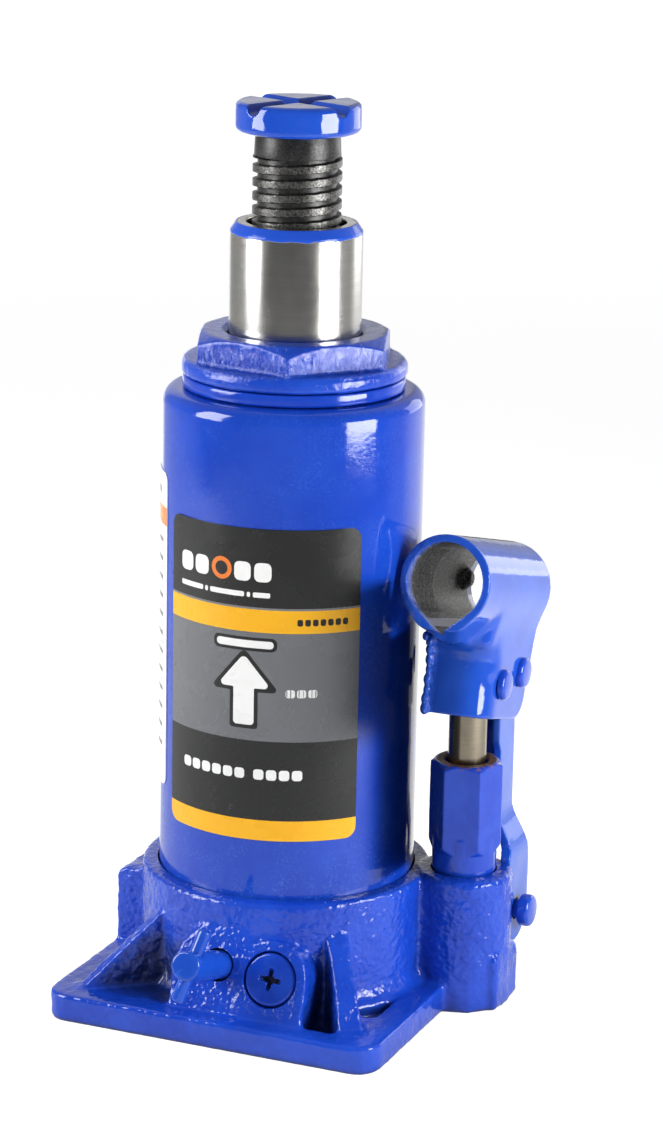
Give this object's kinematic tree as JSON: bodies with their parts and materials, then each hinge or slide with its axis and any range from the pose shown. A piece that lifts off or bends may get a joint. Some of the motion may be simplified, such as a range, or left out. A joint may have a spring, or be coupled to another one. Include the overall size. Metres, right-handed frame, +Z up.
{
  "type": "hydraulic bottle jack",
  "caption": "Upright hydraulic jack on a cast foot, with a ground ram, screw extension, grooved saddle, hand pump with lever socket, and a release valve.",
  "frame": {"origin": "on the ground under the axis of the ram, at the middle of the foot's underside", "axes": "+Z up along the ram, -Y towards the release valve, +X towards the hand pump"},
  "size_m": [0.121, 0.1278, 0.266],
  "materials": {
    "base_paint": "glossy blue enamel over a rough casting",
    "tank_paint": "glossy blue enamel with fine orange peel",
    "cylinder_steel": "honed steel tube",
    "nut_paint": "glossy blue enamel, thick at the edges",
    "wiper_rubber": "matt black rubber",
    "gasket_paint": "blue enamel over a gasket",
    "gasket_rubber": "matt black rubber",
    "copper": "soft copper",
    "seal_rubber": "dark polyurethane",
    "retainer_steel": "turned steel",
    "stop_bronze": "bronze",
    "plug_rubber": "black rubber",
    "front_print": "printed film, satin, plain bands and a pictogram",
    "side_print": "printed film, satin",
    "ram_steel": "ground steel, blue paint on the top chamfer",
    "screw_oxide": "black oxide steel",
    "saddle_paint": "glossy blue enamel",
    "snap_steel": "spring steel",
    "pump_paint": "glossy blue enamel, bare rusty rim",
    "washer_copper": "soft copper",
    "plunger_steel": "ground steel, tarnished",
    "plunger_rubber": "black rubber",
    "socket_paint": "glossy blue enamel, bare steel inside",
    "pin_paint": "blue enamel",
    "link_paint": "glossy blue enamel",
    "clip_steel": "spring steel",
    "valve_paint": "blue enamel",
    "o_ring_rubber": "black rubber",
    "ball_steel": "polished steel",
    "plug_paint": "blue enamel",
    "spring_steel": "spring wire"
  },
  "bodies": {
    "root": {"base_casting": "base_paint", "reservoir_tank": "tank_paint", "pressure_cylinder": "cylinder_steel", "top_nut": "nut_paint", "ram_wiper": "wiper_rubber", "tank_top_gasket": "gasket_paint", "tank_base_gasket": "gasket_rubber", "cylinder_base_gasket": "copper", "filler_plug": "plug_rubber", "front_label": "front_print", "side_label": "side_print", "pump_cylinder": "pump_paint", "pump_washer": "washer_copper", "link_base_pin": "pin_paint", "link_pin_clip": "clip_steel", "overload_valve_plug": "plug_paint", "overload_spring": "spring_steel"},
    "ram": {"ram": "ram_steel", "ram_seal": "seal_rubber", "ram_seal_retainer": "retainer_steel", "ram_stop_ring": "stop_bronze"},
    "screw_ring": {"screw_stop_ring": "snap_steel"},
    "screw": {"extension_screw": "screw_oxide", "saddle": "saddle_paint"},
    "plunger": {"pump_plunger": "plunger_steel", "plunger_seal": "plunger_rubber"},
    "lever": {"handle_socket": "socket_paint", "plunger_pin": "pin_paint", "link_top_pin": "pin_paint"},
    "link": {"link": "link_paint"},
    "valve_ball": {"release_valve_ball": "ball_steel"},
    "valve_stem": {"release_valve_stem": "valve_paint", "release_valve_cross_pin": "valve_paint", "release_valve_o_ring": "o_ring_rubber"},
    "suction_ball": {"suction_ball": "ball_steel"},
    "delivery_ball": {"delivery_ball": "ball_steel"},
    "overload_ball": {"overload_ball": "ball_steel"}
  },
  "joints": [
    {"name": "ram_lift", "type": "slide", "parent": "root", "child": "ram", "axis": [0, 0, 1], "range_m": [-0.028, 0.0975]},
    {"name": "screw_advance", "type": "slide", "parent": "ram", "child": "screw_ring", "axis": [0, 0, 1], "range_m": [-0.0253, 0.036]},
    {"name": "screw_turn", "type": "hinge", "parent": "screw_ring", "child": "screw", "pos_m": [0, 0, 0.257], "axis": [0, 0, 1], "range_deg": [-2250, 3150]},
    {"name": "plunger_stroke", "type": "slide", "parent": "root", "child": "plunger", "axis": [0, 0, 1], "range_m": [-0.005, 0.0098]},
    {"name": "lever_swing", "type": "hinge", "parent": "plunger", "child": "lever", "pos_m": [0.052, 0.0125, 0.0988], "axis": [1, 0, 0], "range_deg": [-34, 18]},
    {"name": "link_swing", "type": "hinge", "parent": "root", "child": "link", "pos_m": [0.052, 0.0276, 0.0245], "axis": [1, 0, 0], "range_deg": [-0.8, 1.4]},
    {"name": "valve_advance", "type": "slide", "parent": "root", "child": "valve_ball", "axis": [0, -0.9483, 0.3173], "range_m": [0, 0.0021]},
    {"name": "valve_turn", "type": "hinge", "parent": "valve_ball", "child": "valve_stem", "pos_m": [-0.0009, -0.0463, 0.0215], "axis": [0, -0.9483, 0.3173], "range_deg": [0, 480]},
    {"name": "suction_ball_lift", "type": "slide", "parent": "root", "child": "suction_ball", "axis": [0, 0, 1], "range_m": [0, 0.001]},
    {"name": "delivery_ball_lift", "type": "slide", "parent": "root", "child": "delivery_ball", "axis": [0, 0, 1], "range_m": [0, 0.001]},
    {"name": "overload_ball_lift", "type": "slide", "parent": "root", "child": "overload_ball", "axis": [0, -0.9483, 0.3173], "range_m": [0, 0.0007]}
  ],
  "couplings": [
    {"joint": "screw_advance", "follows": "screw_turn", "m_per_rad": 0.00063662},
    {"joint": "plunger_stroke", "follows": "lever_swing", "m_per_rad": -0.015},
    {"joint": "link_swing", "follows": "lever_swing", "ratio": -0.034},
    {"joint": "valve_advance", "follows": "valve_turn", "m_per_rad": 0.00023873}
  ]
}
